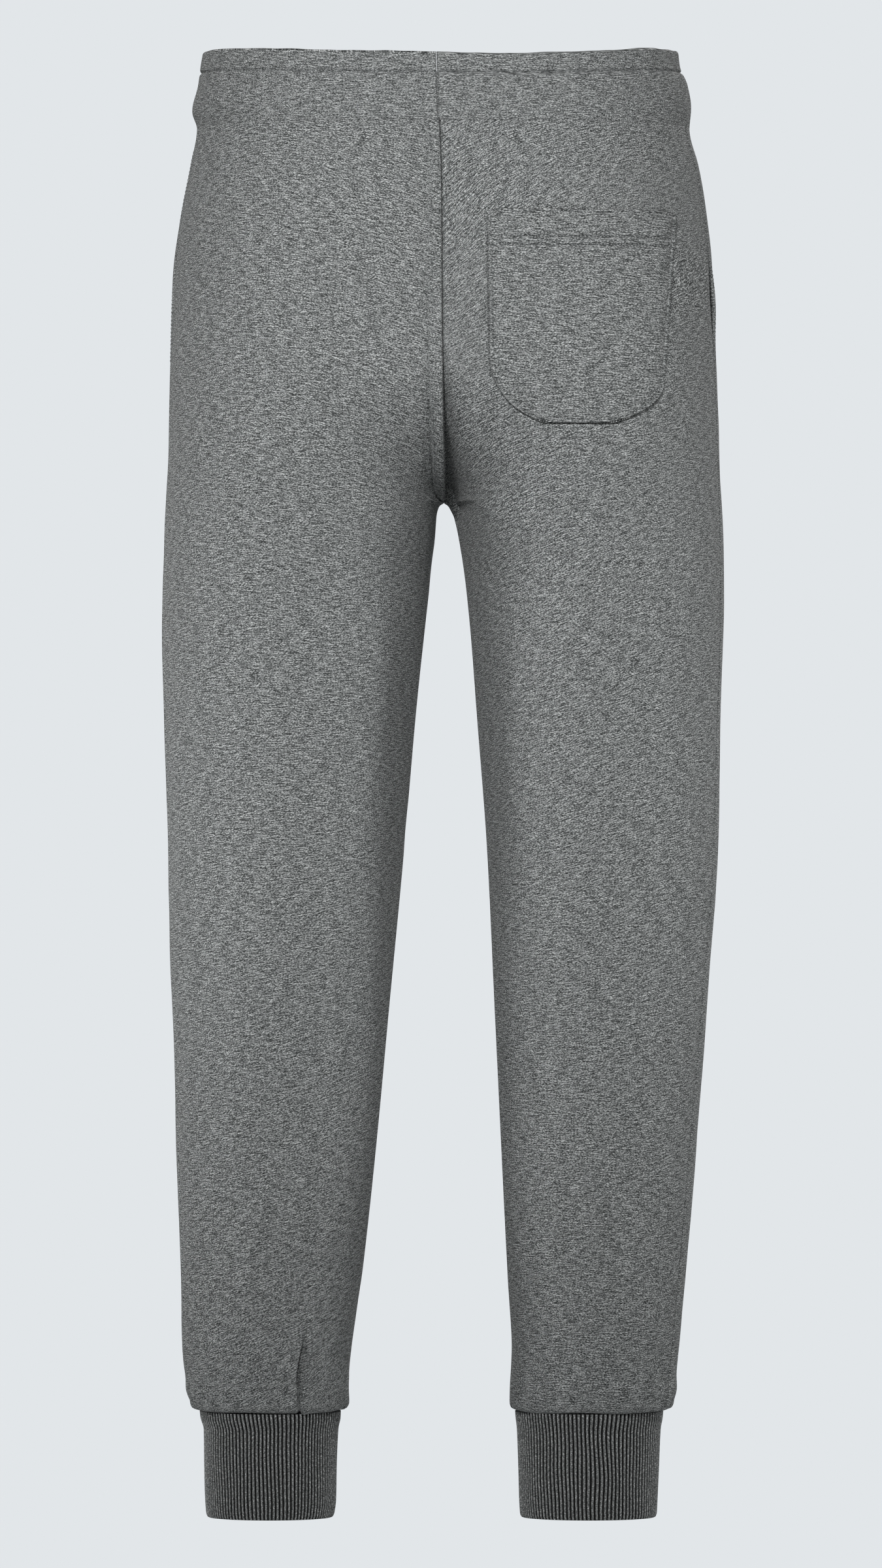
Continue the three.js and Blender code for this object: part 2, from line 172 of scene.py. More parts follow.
# Soft folds, each a line of places (across from the middle, height) from top to bottom or outwards.
# Then come its lift, which is how far the cloth stands up along it, or sinks where that is less than
# nothing, and two widths: how it fades outwards or upwards, and how it fades inwards or downwards.
folds = {
    "left": [
        ([(57, -245), (49, -377), (57, -458), (61, -516), (57, -676), (70, -775), (84, -862)],
         7.5, 46, 19),
        ([(177, -285), (168, -355), (164, -404)], 1.4, 6, 12),
        ([(88, -306), (119, -283)], -1.0, 7, 9),
        ([(6, -110), (52, -108), (101, -112)], -0.6, 3, 6),
        ([(93.3, -862), (94.2, -872), (96.8, -885), (97.9, -893), (98, -902), (97.8, -930)],
         -5.0, 1.7, 0.5),
        ([(91.5, -862), (92.4, -872), (95, -885), (96.1, -893), (96.2, -902), (96, -930)],
         2.6, 0.7, 4.0),
        ([(94.5, -866), (82, -862), (68, -857)], -1.4, 1.3, 2.2),
        ([(109, -892), (108, -902), (107, -914)], -1.3, 1.6, 1.2),
        ([(30, -196), (33, -225), (30, -262)], 1.2, 16, 14),
        ([(150, -560), (140, -640), (146, -720)], 1.2, 12, 16),
        ([(110, -700), (118, -770), (122, -830)], -1.0, 14, 16),
    ],
    "right": [
        ([(55, -330), (57, -377), (59, -516), (51, -650), (58, -750), (59, -797), (64, -870)],
         6.5, 42, 19),
        ([(26, -205), (28, -240), (27, -285)], 1.4, 14, 7),
        ([(144, -360), (155, -410), (167, -468)], 1.3, 10, 12),
        ([(158, -455), (172, -520), (184, -580)], 1.2, 8, 12),
        ([(166, -322), (180, -366)], 1.2, 7, 10),
        ([(50, -132), (75, -162), (98, -189)], -0.8, 7, 8),
        ([(124, -199), (137, -203), (149, -205)], -1.3, 4, 4),
        ([(128, -193), (140, -196), (150, -197)], 0.9, 5, 4),
        ([(112, -560), (104, -640), (110, -720)], -1.0, 14, 16),
    ],
}
# How many widths away a fold still counts, and how it fades over the ends of its line
fold_reach = 2.5
fold_fade = 0.3
fold_end = 0.1


def clamp(value):
    return min(1.0, max(0.0, value))


def smooth(value):
    return clamp(value) ** 2 * (3 - 2 * clamp(value))


def mix(a, b, share):
    return a + (b - a) * share


def bump(distance, width):
    return math.exp(-((distance / width) ** 2))


def hem_row(run):
    """The height of the cloth at a run down the leg, and how far it has rolled under to the cuff."""
    if run >= hem_roll:
        return run, 0.0
    turned = clamp((hem_roll - run) / hem_length) * quarter
    return hem_roll - (hem_roll - cuff_seam) * math.sin(turned), (1 - math.cos(turned)) ** hem_bend


@lru_cache(maxsize=None)
def section(side, run):
    """The sizes of one half of the seat, or of one leg: its edges, depths, crown and saddle, and the
    line that its inner half follows, which passes the arch of the crotch smoothly."""
    z, tuck = hem_row(run)
    centre = signs[side] * middle("across", z) + seam_gap / 2
    inner = max(inseams(side, z), centre) if z <= crotch else centre
    outer = mix(outline(side, z), cuffs(side + "_outer", cuff_seam) - cuff_thickness, tuck)
    inner = mix(inner, cuffs(side + "_inner", cuff_seam) + cuff_thickness, tuck)
    reach = cuffs("half_depth", cuff_seam) - cuff_thickness
    back = mix(depth("back", z), reach, tuck)
    front = mix(depth("front", z), reach, tuck)
    turn = clamp((seat_turn - z) / (seat_turn - crotch))
    settled = crotch - arch_height
    passing = mix(centre, inseams(side, settled), smooth((crotch - z) / arch_height))
    line = inner if z < settled else passing
    return outer, inner, back, front, mix(line, outer, depth("crown", z)), 1 - turn, line


def skin(side, run, way):
    """A point on the smooth cloth. Way runs from 0 at the side to 2 at the centre seam or inseam on
    the back, and to -2 on the front. Between the legs the halves meet in a deepening saddle."""
    outer, inner, back, front, crown, saddle, line = section(side, run)
    reach = back if way >= 0 else front
    t = abs(way)
    if t <= 1:
        across = mix(crown, outer, math.cos(t * quarter))
        away = reach * math.sin(t * quarter)
    else:
        share = 1 - math.sin(min(t - 1, 1) * quarter)
        lift = math.sqrt(share ** 2 + saddle ** 2 * (1 - share ** 2))
        across = mix(line, crown, share) + (inner - line) * (1 - share) ** arch_sharpness
        away = max(reach * math.sqrt(max(0, 1 - (1 - lift) ** 2)), seam_gap / 2)
    return Vector((signs[side] * across, math.copysign(away, way), hem_row(run)[0]))


def outward(side, run, way):
    """The direction straight out of the cloth."""
    up = skin(side, run + 1, way) - skin(side, run - 1, way)
    ahead, behind = min(way + way_step, 2), max(way - way_step, -2)
    along = skin(side, run, ahead) - skin(side, run, behind)
    return along.cross(up).normalized() * signs[side]


def seam_way(side, run):
    """Where round the leg the side seam runs."""
    return math.asin(side_seam_back[side] / section(side, run)[2]) / quarter


def way_at(side, run, across):
    """Where round the back the cloth is a given distance from the middle."""
    outer, inner, crown = (section(side, run)[k] for k in (0, 1, 4))
    if across >= crown:
        return math.acos(clamp((across - crown) / (outer - crown))) / quarter
    return 1 + math.asin(clamp((crown - across) / (crown - inner))) / quarter


def fold_lift(fold, across, z):
    """How far one fold lifts the cloth at a place. It fades towards both ends of its line."""
    line, lift, outwards, inwards = fold
    reach = fold_reach * max(outwards, inwards)
    if not min(p[0] for p in line) - reach < across < max(p[0] for p in line) + reach:
        return 0.0
    if not min(p[1] for p in line) - reach < z < max(p[1] for p in line) + reach:
        return 0.0
    nearest = None
    for i, (start, end) in enumerate(zip(line, line[1:])):
        run_x, run_z = end[0] - start[0], end[1] - start[1]
        length = math.hypot(run_x, run_z)
        share = clamp(((across - start[0]) * run_x + (z - start[1]) * run_z) / length ** 2)
        gap = math.hypot(across - start[0] - run_x * share, z - start[1] - run_z * share)
        if nearest is None or gap < nearest[0]:
            turn = run_x * (z - start[1]) - run_z * (across - start[0])
            nearest = (gap, turn, (i + share) / (len(line) - 1))
    gap, turn, along = nearest
    ends = smooth(min(along, 1 - along) / fold_fade + fold_end)
    return lift * bump(gap, outwards if turn > 0 else inwards) * ends


def gape(side, z):
    """How far the two edges of a pocket slit stand apart."""
    along = (slit_gape_top - z) / (slit_gape_top - slit_gape_bottom)
    return slit_gape[side] * math.sin(clamp(along) * math.pi) ** 2


# The deep fold beside the seam at the crotch on the right: how far from the seam, how deep and wide
crotch_fold = curve(
    ["height", "from_seam", "sink", "width"],
    [
        [-165, 1.0, 0, 2.4], [-190, 1.0, 2, 3.4], [-215, 1.1, 9, 5.0], [-240, 1.2, 19, 7.0],
        [-262, 1.3, 36, 8.6], [-280, 1.4, 50, 10.4], [-289, 1.4, 54, 11.4], [-302, 1.6, 30, 12.0],
        [-325, 2.0, 10, 12.0], [-350, 2.0, 0, 12.0],
    ],
)
# Outline of the patch pocket on the right back, whose stitched edge draws the panel in a little
pocket_inner = 31.2
pocket_outer = 160.0
inner_taper = 2.2
outer_taper = 10.0
pocket_top = -93.4
pocket_bottom = -238.0
inner_corner = (48.0, 45.0)
outer_corner = (48.0, 31.0)
top_corner = 6.0
top_corner_slope = 1.5
# The pull reaches a little way outside the edge and farther under it. On the outer side it fades
# above the lower corner, and everywhere it fades at the open top.
pull_outside = 1.1
pull_under = 5.0
outer_pull_top = 34.0
outer_pull_fade = 24.0
top_pull_start = 2.0
top_pull_fade = 6.0


def pocket_edges(z):
    """The inner and the outer edge of the pocket at a height."""
    def rounded(across, up):
        share = clamp((up - (z - pocket_bottom)) / up)
        return across * (1 - math.sqrt(1 - share * share))
    chamfer = top_corner_slope * max(0, top_corner - (pocket_top - z))
    down = (pocket_top - z) / (pocket_top - pocket_bottom)
    inner = pocket_inner + inner_taper * down + rounded(*inner_corner) + chamfer
    return inner, pocket_outer - outer_taper * down - rounded(*outer_corner)


def pocket_pull(across, z):
    """How much the stitched edge of the patch pocket draws the panel in at a place, up to 1."""
    if not pocket_bottom - 2 * pull_under < z < pocket_top + top_pull_fade:
        return 0.0
    level = max(z, pocket_bottom + 1.0)
    inner, outer = pocket_edges(level)
    inner_above, outer_above = pocket_edges(level + 1.0)
    inner_gap = (inner - across) / math.hypot(1, inner - inner_above)
    outer_gap = (across - outer) / math.hypot(1, outer_above - outer)
    foot_gap = pocket_bottom - z
    side_gap = max(inner_gap, outer_gap)
    gap = math.hypot(max(side_gap, 0), foot_gap) if foot_gap > 0 else max(side_gap, foot_gap)
    share = smooth((pocket_top + top_pull_start - z) / top_pull_fade)
    if outer_gap > inner_gap:
        outer_share = smooth((pocket_bottom + outer_pull_top - z) / outer_pull_fade)
    else:
        outer_share = 1.0
    return bump(gap, pull_outside if gap > 0 else pull_under) * outer_share * share


# Relief of the sewn cloth, as a height or a depth and how wide it is across: the seams, the step
# under the waistband, the swollen hem and its puckers, the slack and the creases of the cloth
side_seam_width = 1.3
inseam_width = 0.9
fell_edge_dip = 0.5
band_step = 0.15
hem_swell = 1.3
hem_swell_at = -903.0
hem_swell_width = 7.0
pucker_height = 1.1
pucker_length = 5.0
pucker_top = -878.0
pucker_foot = -922.0
slack_height = 1.3
slack_size = (46.0, 80.0)
crease_height = 0.35
crease_size = (17.0, 30.0)
front_fold_share = 0.6
pocket_groove = 1.6
# The felled seam has a groove at its edge and one under its stitches. From the seat's bend down the
# groove at its edge is deeper, and the cloth beside it sinks too.
fell_bend = -196.0
fell_edge_groove = 1.9
fell_bend_groove = 0.7
fell_stitch_groove = 0.9
fell_hollow = 2.2


def fell_relief(run, to_centre):
    """The felled centre seam on the left back: a raised strip with a groove at its stitched edge."""
    fade = smooth((run - crotch) / 12)
    deep = smooth((fell_bend - run) / 12)
    edge = to_centre - fell_width * (1 - 0.15 * smooth((-200 - run) / 80))
    strip = fell_height * smooth(0.5 - edge / 0.6)
    groove = (fell_edge_groove + fell_bend_groove * deep) * bump(edge - 0.9, 0.7)
    groove += fell_stitch_groove * bump(edge + fell_inset, 0.6)
    hollow = fell_hollow * bump(edge - 3.0, 4.0) * deep * smooth((-215 - run) / 50)
    return (strip - groove) * fade - hollow


def relief(side, face, run, point, to_side, to_centre, pulled):
    """How far the real cloth stands off the smooth one: seams, hem, puckers, folds and slack."""
    across = abs(point.x)
    lift = -seam_dip * bump(to_side, side_seam_width)
    lift -= band_step * smooth((run - band_seam + 1.0) / 1.6)
    if face < 0 or run < crotch:
        lift -= seam_dip * bump(to_centre, inseam_width)
    elif side == "left":
        lift -= fell_edge_dip * bump(to_centre, 0.5)
    lift += hem_swell * bump(run - hem_swell_at, hem_swell_width) * clamp((run - cuff_seam) / 4)
    pucker = noise.noise(Vector((point.x / pucker_length, point.y / pucker_length, 3.1)))
    gathered = smooth((run - pucker_foot) / 5) * smooth((pucker_top - run) / 26)
    lift += pucker_height * pucker * gathered
    wide, tall = slack_size
    slack = noise.noise(Vector((point.x / wide, point.y / wide, point.z / tall)))
    wide, tall = crease_size
    crease = noise.noise(Vector((point.x / wide, point.y / wide, point.z / tall + 7)))
    away_from_seams = smooth(to_side / 20) * smooth((band_seam - run) / 30)
    lift += (slack_height * slack + crease_height * crease) * away_from_seams
    if face > 0 and side == "left" and run > crotch:
        lift += fell_relief(run, to_centre)
    if face > 0 and side == "right" and pulled:
        lift -= pocket_groove * pocket_pull(across, point.z)
    for fold in folds[side]:
        lift += (1.0 if face > 0 else front_fold_share) * fold_lift(fold, across, point.z)
    return lift


# Beside a slit that gapes, the back's edge sinks a little and the front's edge moves outwards.
# The crotch fold starts sharply beside the seam, and below the crotch it fades over the inseam too.
gape_reach = 14.0
gape_dip = 0.25
gape_spread = 0.65
fold_sharp = 0.6
fold_soft = 12.0
deepest_share = 0.8


def on_cloth(side, face, run, way, pulled=True):
    """A point on the real cloth and the direction out of it, with or without the pocket's pull."""
    point = skin(side, run, way)
    normal = outward(side, run, way)
    to_side = (point - skin(side, run, seam_way(side, run))).length
    to_centre = (point - skin(side, run, 2 * face)).length
    lift = relief(side, face, run, point, to_side, to_centre, pulled)
    open_by = gape(side, point.z) * smooth(1 - to_side / gape_reach)
    if face > 0:
        shift = seam_gap / 2 * bump(to_side, 2)
        lift -= gape_dip * open_by
    else:
        shift = -seam_gap / 2 * bump(to_side, 2) - open_by
        point.x += signs[side] * open_by * gape_spread
    point.y += shift
    point += normal * lift
    limit = section(side, run)[1]
    if signs[side] * point.x < limit:
        point.x = signs[side] * limit
    if face > 0 and side == "right":
        from_fold = signs[side] * point.x - limit - crotch_fold("from_seam", point.z)
        to_edge = mix(fold_sharp, fold_soft, smooth((crotch + 4 - point.z) / 8))
        width = crotch_fold("width", point.z) if from_fold > 0 else to_edge
        sink = crotch_fold("sink", point.z) * bump(from_fold, width)
        sink += under_dip * bump(to_centre, 1.4)
        point.y -= min(sink, deepest_share * max(point.y, 0))
    return point, normal


# The columns of a panel lie closer near its two seams and at its fine places, which are the crease
# of the left hem and the pocket's two edges on the right
density_steps = 300
plain_density = 0.55
seam_density = 3.2
seam_reach = 0.09
crease_across = 96.5
crease_density = 5.0
crease_reach = 0.025
crease_top = -790.0
edge_density = 3.0
edge_reach = 0.016
edge_foot = -420.0


def column_shares(columns, fine):
    """Where the columns of a panel lie, from seam to seam: closer at both and at the fine places."""
    density = []
    for i in range(density_steps):
        share = (i + 0.5) / density_steps
        here = plain_density + seam_density * (bump(share, seam_reach) + bump(1 - share, seam_reach))
        added = sum(weight * bump(share - place, width) for place, width, weight in fine)
        density.append(here + added)
    spacing = sum(density) / columns
    shares, passed, i = [0.0], 0.0, 0
    for j in range(1, columns):
        while passed + density[i] < spacing * j:
            passed += density[i]
            i += 1
        shares.append((i + (spacing * j - passed) / density[i]) / density_steps)
    return shares + [1.0]


def fine_places(name, run):
    """Where a panel needs close columns: at the left hem's crease and at the pocket's edges."""
    if name == "back_left":
        weight = crease_density * smooth((crease_top - run) / 60)
        places, width = [crease_across], crease_reach
    elif name == "back_right" and run > edge_foot:
        weight = edge_density * smooth((run - edge_foot) / 100)
        places, width = pocket_edges(min(max(run, pocket_bottom + 14), pocket_top)), edge_reach
    else:
        return []
    side = name[5:]
    start = seam_way(side, run)
    shares = [(way_at(side, run, across) - start) / (2 - start) for across in places]
    return [(share, width, weight) for share in shares]


arch_foot = -300.0
hem_start = -866.0


def panel_runs():
    """The rows of a panel: closer round the crotch, at the pocket's foot and over the rolled hem."""
    top = band_seam + 1.2
    runs = [mix(top, seat_turn, i / 40) for i in range(40)]
    runs += [seat_turn - (seat_turn - crotch) * math.sin(i / 36 * quarter) for i in range(37)]
    runs = [run for run in runs if abs(run - pocket_bottom) > 6.5]
    runs += [pocket_bottom + 0.9 * i for i in range(-7, 8)]
    runs.sort(reverse=True)
    runs += [mix(crotch, arch_foot, i / 8) for i in range(1, 8)]
    runs += [mix(arch_foot, hem_start, i / 90) for i in range(90)]
    runs += [mix(hem_start, hem_roll, i / 22) for i in range(22)]
    runs += [mix(hem_roll, hem_roll - hem_length, i / 10) for i in range(11)]
    return runs


def course_slant(side, z, share):
    """The slant of the knit's courses, from the outer edge of a leg to its inner edge."""
    outer, centre, inner = (slants[side](column, z) for column in ("outer", "middle", "inner"))
    if share < 0.5:
        return math.radians(mix(outer, centre, smooth(share / 0.5)))
    return math.radians(mix(centre, inner, smooth((share - 0.5) / 0.5)))


def grain_row(side, face, run, row):
    """Where each point of a row lies on the knitted cloth, in metres along and up its courses."""
    outer, inner, crown = (section(side, run)[k] for k in (0, 1, 4))
    along, rise, places = 0.0, 0.0, []
    for before, point in zip([row[0]] + row, row):
        along += (point - before).length
        share = clamp((outer - abs(point.x)) / (outer - inner))
        slant = course_slant(side, point.z, share) if face > 0 else 0.0
        rise += (point.x - before.x) * math.tan(slant)
        places.append((along, rise, abs(abs(point.x) - crown)))
    middle_along, middle_rise, _ = min(places, key=lambda place: place[2])
    return [((a - middle_along) / 1000, (run + r - middle_rise) / 1000) for a, r, _ in places]


def cloth_grid(rows, grain, flip):
    """A grid of cloth laid over rows of points, with its place on the knit as a UV map."""
    bm = bmesh.new()
    down, across = len(rows) - 1, len(rows[0]) - 1
    bmesh.ops.create_grid(bm, x_segments=across, y_segments=down, size=1)
    knit = bm.loops.layers.uv.new("grain")
    places = {}
    for vert in bm.verts:
        places[vert] = (round((1 - vert.co.y) / 2 * down), round((vert.co.x + 1) / 2 * across))
    for vert, (i, j) in places.items():
        vert.co = rows[i][j] / 1000
    for face in bm.faces:
        face.smooth = True
        for loop in face.loops:
            i, j = places[loop.vert]
            loop[knit].uv = grain[i][j]
    if flip:
        bmesh.ops.reverse_faces(bm, faces=bm.faces[:])
    return bm


def linear(hex_colour):
    """An sRGB hex colour as the linear colour that a shader takes."""
    parts = [int(hex_colour[i:i + 2], 16) / 255 for i in (1, 3, 5)]
    return [p / 12.92 if p <= 0.04045 else ((p + 0.055) / 1.055) ** 2.4 for p in parts] + [1.0]


def add(tree, kind, sockets=None, **settings):
    """Adds a node with its settings, and sets each socket to a value or links it to an output."""
    node = tree.nodes.new(kind)
    for name, value in settings.items():
        setattr(node, name, value)
    for name, value in (sockets or {}).items():
        if isinstance(value, bpy.types.NodeSocket):
            tree.links.new(value, node.inputs[name])
        else:
            node.inputs[name].default_value = value
    return node


def colour_ramp(tree, value, stops):
    """A ramp through hex colours at given places."""
    ramp = add(tree, "ShaderNodeValToRGB", {"Fac": value})
    elements = ramp.color_ramp.elements
    while len(elements) < len(stops):
        elements.new(0.5)
    for element, (place, colour) in zip(elements, stops):
        element.position = place
        element.color = linear(colour)
    return ramp.outputs["Color"]


def knit_noise(tree, length, height, detail=2.0, turn=0.0):
    """Noise drawn out along the knit's courses, length by height millimetres. The turn keeps its
    own rows and columns from showing as straight bands."""
    knit = add(tree, "ShaderNodeUVMap", uv_map="grain")
    placed = add(tree, "ShaderNodeMapping", {
        "Vector": knit.outputs["UV"],
        "Rotation": (0, 0, math.radians(turn)),
        "Scale": (1000 / length, 1000 / height, 1),
    })
    marks = add(tree, "ShaderNodeTexNoise", {
        "Vector": placed.outputs["Vector"], "Scale": 1.0, "Detail": detail, "Roughness": 0.6,
    }, noise_dimensions="2D")
    return marks.outputs["Fac"]


def heather_cloth(name, stops, streak, bump_height, rib_pitch=None):
    """Melange knit: dark and pale fibres show as short streaks along the courses of a matt cloth.
    In a rib knit the colour is darkened with painted shade in the purl wales between the ribs and
    brightened with painted light on the ribs."""
    material = bpy.data.materials.new(name)
    material.use_nodes = True
    tree = material.node_tree
    tree.nodes.clear()
    length, height = streak
    layers = [
        (knit_noise(tree, 1.3, 0.52, detail=1.0, turn=20), 0.46),
        (knit_noise(tree, length * 0.45, height, detail=1.0, turn=-25), 0.27),
        (knit_noise(tree, length, height, detail=1.0, turn=35), 0.27),
    ]
    shade = None
    for noise_value, share in layers:
        sockets = {0: noise_value, 1: share, 2: 0.0 if shade is None else shade}
        shade = add(tree, "ShaderNodeMath", sockets, operation="MULTIPLY_ADD").outputs["Value"]
    colour = colour_ramp(tree, shade, stops)
    # Painted shade and light: by its place across the ribs, the colour is darkened in the purl wales
    # and brightened on the ribs.
    if rib_pitch:
        knit = add(tree, "ShaderNodeUVMap", uv_map="grain")
        parts = add(tree, "ShaderNodeSeparateXYZ", {"Vector": knit.outputs["UV"]})
        count = add(tree, "ShaderNodeMath", {
            0: parts.outputs["X"], 1: 1000 / rib_pitch,
        }, operation="MULTIPLY")
        from_valley = add(tree, "ShaderNodeMath", {
            0: count.outputs["Value"], 1: 0.5,
        }, operation="PINGPONG")
        painted_rib_light_and_shade = add(tree, "ShaderNodeMapRange", {
            "Value": from_valley.outputs["Value"],
            "From Min": 0.12, "From Max": 0.36, "To Min": 0.06, "To Max": 1.85,
        }, interpolation_type="SMOOTHSTEP")
        colour = add(tree, "ShaderNodeVectorMath", {
            0: colour, 1: painted_rib_light_and_shade.outputs["Result"],
        }, operation="MULTIPLY").outputs["Vector"]
    loops = knit_noise(tree, 0.5, 0.6, detail=1.0)
    height_map = add(tree, "ShaderNodeMath", {0: shade, 1: 1.2, 2: loops}, operation="MULTIPLY_ADD")
    raised = add(tree, "ShaderNodeBump", {
        "Strength": 0.7, "Distance": bump_height / 1000, "Height": height_map.outputs["Value"],
    })
    shader = add(tree, "ShaderNodeBsdfPrincipled", {
        "Base Color": colour, "Roughness": 0.95, "IOR": 1.5, "Specular IOR Level": 0.25,
        "Sheen Weight": 0.08, "Sheen Roughness": 0.5, "Normal": raised.outputs["Normal"],
    })
    add(tree, "ShaderNodeOutputMaterial", {"Surface": shader.outputs["BSDF"]})
    return material


# Cotton-blend loopback fleece, brushed matt: grey and near-white fibres show as a grain of 1.3 mm
# and as streaks 5 and 11 mm long and 0.5 mm high
heather_fleece = heather_cloth(
    "heather_loopback_fleece",
    [
        (0.40, "#333535"), (0.4575, "#5b5e5e"), (0.50, "#777a7a"), (0.5425, "#969999"),
        (0.61, "#d7dada"),
    ],
    streak=(11.0, 0.5),
    bump_height=0.15,
)


def finish_piece(name, bm, material, node=None):
    """Makes a piece from its mesh: it rides on the one body and stands for its solid."""
    mesh = bpy.data.meshes.new(name)
    bm.to_mesh(mesh)
    bm.free()
    mesh.materials.append(material)
    piece = bpy.data.objects.new(name, mesh)
    bpy.context.scene.collection.objects.link(piece)
    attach(piece, "root")
    if node:
        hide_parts(node)
    return piece


def give_thickness(piece, thickness):
    """Turns a sheet into cloth with a thickness, grown inwards."""
    shell = piece.modifiers.new("cloth_thickness", "SOLIDIFY")
    shell.thickness = thickness / 1000
    shell.offset = -1


# How far a seam allowance goes on past its seam, and its room under the cloth
allowance_length = 1.2
allowance_room = 0.6


def turned_under(ends, closed):
    """The seam allowance: past the last of two points it goes on behind the cloth beyond the seam,
    or turns straight in where a slit is open."""
    (before, _), (edge, normal) = ends
    beyond = (edge - before).normalized() * allowance_length * closed
    return edge + beyond - normal * (cloth + allowance_room)


panel_columns = {"back_left": 164, "back_right": 190, "front_left": 84, "front_right": 84}
for side in signs:
    for face, word in ((1, "back"), (-1, "front")):
        name = word + "_" + side
        rows, grain = [], []
        for run in panel_runs():
            start = seam_way(side, run)
            shares = column_shares(panel_columns[name], fine_places(name, run))
            ways = [mix(start, 2 * face, share) for share in shares]
            placed = [on_cloth(side, face, run, way) for way in ways]
            row = [point for point, _ in placed]
            closed = smooth(1 - gape(side, row[0].z))
            first, last = turned_under(placed[1::-1], closed), turned_under(placed[-2:], 1.0)
            row = [first] + row + [last]
            rows.append(row)
            grain.append(grain_row(side, face, run, row))
        bm = cloth_grid(rows, grain, flip=signs[side] * face < 0)
        panel = finish_piece("fleece_" + name, bm, heather_fleece, name)
        give_thickness(panel, cloth)


# Pocket facings: a strip of the same fleece sewn behind each side slit, to back the opening.
# The bags beyond them are hidden and not made.
facing_width = 16.0
facing_cloth = 1.2
facing_gap = 1.0
facing_bulge = 1.1
facings = {}
for side in signs:
    rows, grain = [], []
    for i in range(61):
        run = mix(slit_top, slit_bottom, i / 60)
        span = facing_width / section(side, run)[2] / quarter
        ways = [seam_way(side, run) + mix(-0.5, 0.5, j / 12) * span for j in range(13)]
        bulge = facing_bulge * gape(side, run)
        under = [cloth + facing_gap + bulge * math.sin(math.pi * j / 12) for j in range(13)]
        row = [skin(side, run, way) - outward(side, run, way) * u for way, u in zip(ways, under)]
        rows.append(row)
        grain.append([(facing_width * j / 12000, run / 1000) for j in range(13)])
    bm = cloth_grid(rows, grain, flip=signs[side] < 0)
    name = "pocket_facing_" + side
    facings[side] = finish_piece("fleece_" + name, bm, heather_fleece, name)
    give_thickness(facings[side], facing_cloth)


# Waistband: one strip of fleece folded over flat elastic and joined at the centre back.
# A stitched line under the top fold keeps the elastic in its channel, and the band ripples over it.
band_height = 56.0
band_dip = 10.0
band_thickness = 4.6
channel_up = 0.705
band_columns = 200
fold_share = 0.041
# How much the band stands off over the elastic, dips at its seams and lines, and ripples
band_swell = 0.35
band_swell_top = 0.68
band_foot_dip = 0.1
band_groove = 1.6
band_ripple = 0.5
band_slack = 0.9
# How the top edge rises and falls from side to side, over and above its dip at the back
lip = curve(
    ["across", "rise"],
    [
        [166, -3.2], [163, -2.6], [157, -1.6], [143, -0.6], [125, 0.4], [95, 1.4], [60, 1.6],
        [12, 1.0], [-10, 0.2], [-33, -0.3], [-78, 0.0], [-123, -0.5], [-146, -0.4], [-155, -1.9],
        [-166, -2.6],
    ],
)


def crowd_edges(share, crowding):
    """Moves a share from 0 to 1 so that evenly spaced ones lie closer near both ends."""
    return share - crowding * math.sin(2 * math.pi * share) / (2 * math.pi)


def band_place(side, way, up, out):
    """A point of the band: up is its share of the height, out is how far it stands off the line."""
    run = band_seam + band_height * up
    point = skin(side, run, way)
    ahead, behind = min(way + 2 * way_step, 2), max(way - 2 * way_step, -2)
    along = skin(side, run, ahead) - skin(side, run, behind)
    normal = Vector((along.y, -along.x, 0)).normalized() * signs[side]
    back, front = section(side, run)[2:4]
    dip = band_dip * (abs(point.y) / max(back, front)) ** 2
    wave = 0.5 * noise.noise(Vector((point.x / 16, point.y / 16, 5))) * up
    wave += lip("rise", point.x) * up ** 2
    point += normal * out
    point.z = mix(band_seam, band_seam + band_height - dip + wave, up)
    return point


def band_profile():
    """Shares of the height and how far out: up the outside, over the fold and down the inside."""
    flat_top = 1 - fold_share
    ups = [flat_top * i / 36 for i in range(36) if abs(flat_top * i / 36 - channel_up) > 0.07]
    ups += [channel_up + 0.01 * i for i in range(-6, 7)]
    steps = [(up, 0.0) for up in sorted(ups)]
    for i in range(9):
        angle = math.pi * i / 8
        reach = band_thickness / 2
        steps.append((flat_top + fold_share * math.sin(angle), -reach + reach * math.cos(angle)))
    steps += [(flat_top * (1 - i / 8), -band_thickness) for i in range(1, 9)]
    return steps + [steps[0]]


def band_relief(point, up, out):
    """The band's seam, centre join, channel line and ripples, which show outside only."""
    if out < -band_thickness * 0.75:
        return 0.0
    from_join = abs(point.x - middle("across", point.z)) if point.y > 0 else 99.0
    from_channel = (up - channel_up) * 50
    swell = band_swell * math.sin(math.pi * clamp(up / band_swell_top))
    lift = swell - band_foot_dip * bump(up * 50, 1.0)
    lift -= band_groove * bump(from_channel, 1.0) + band_groove * bump(from_join, 0.8)
    ripple = noise.noise(Vector((point.x / 4.2, point.y / 4.2, point.z / 30)))
    slack = noise.noise(Vector((point.x / 22, point.y / 22, point.z / 26 + 2)))
    loose = band_ripple * ripple + band_slack * slack
    return lift + loose * smooth(up / 0.15) * smooth((1 - up) / 0.06 + 0.4)


band_shares = [crowd_edges(j / band_columns, 0.65) for j in range(band_columns + 1)]
band_ways = [("left", mix(2, -2, share)) for share in band_shares]
band_ways += [("right", mix(-2, 2, share)) for share in band_shares]
rows, grain = [], []
for up, out in reversed(band_profile()):
    row, places, along = [], [], 0.0
    for side, way in band_ways:
        flat = band_place(side, way, up, out)
        point = band_place(side, way, up, out + band_relief(flat, up, out))
        if row:
            along += (point - row[-1]).length
        row.append(point)
        places.append((along / 1000, (band_height * up + out) / 1000))
    rows.append(row)
    grain.append(places)
bm = cloth_grid(rows, grain, flip=False)
bmesh.ops.remove_doubles(bm, verts=bm.verts[:], dist=1e-6)
bmesh.ops.holes_fill(bm, edges=[edge for edge in bm.edges if edge.is_boundary], sides=0)
waistband = finish_piece("fleece_waistband", bm, heather_fleece, "waistband")


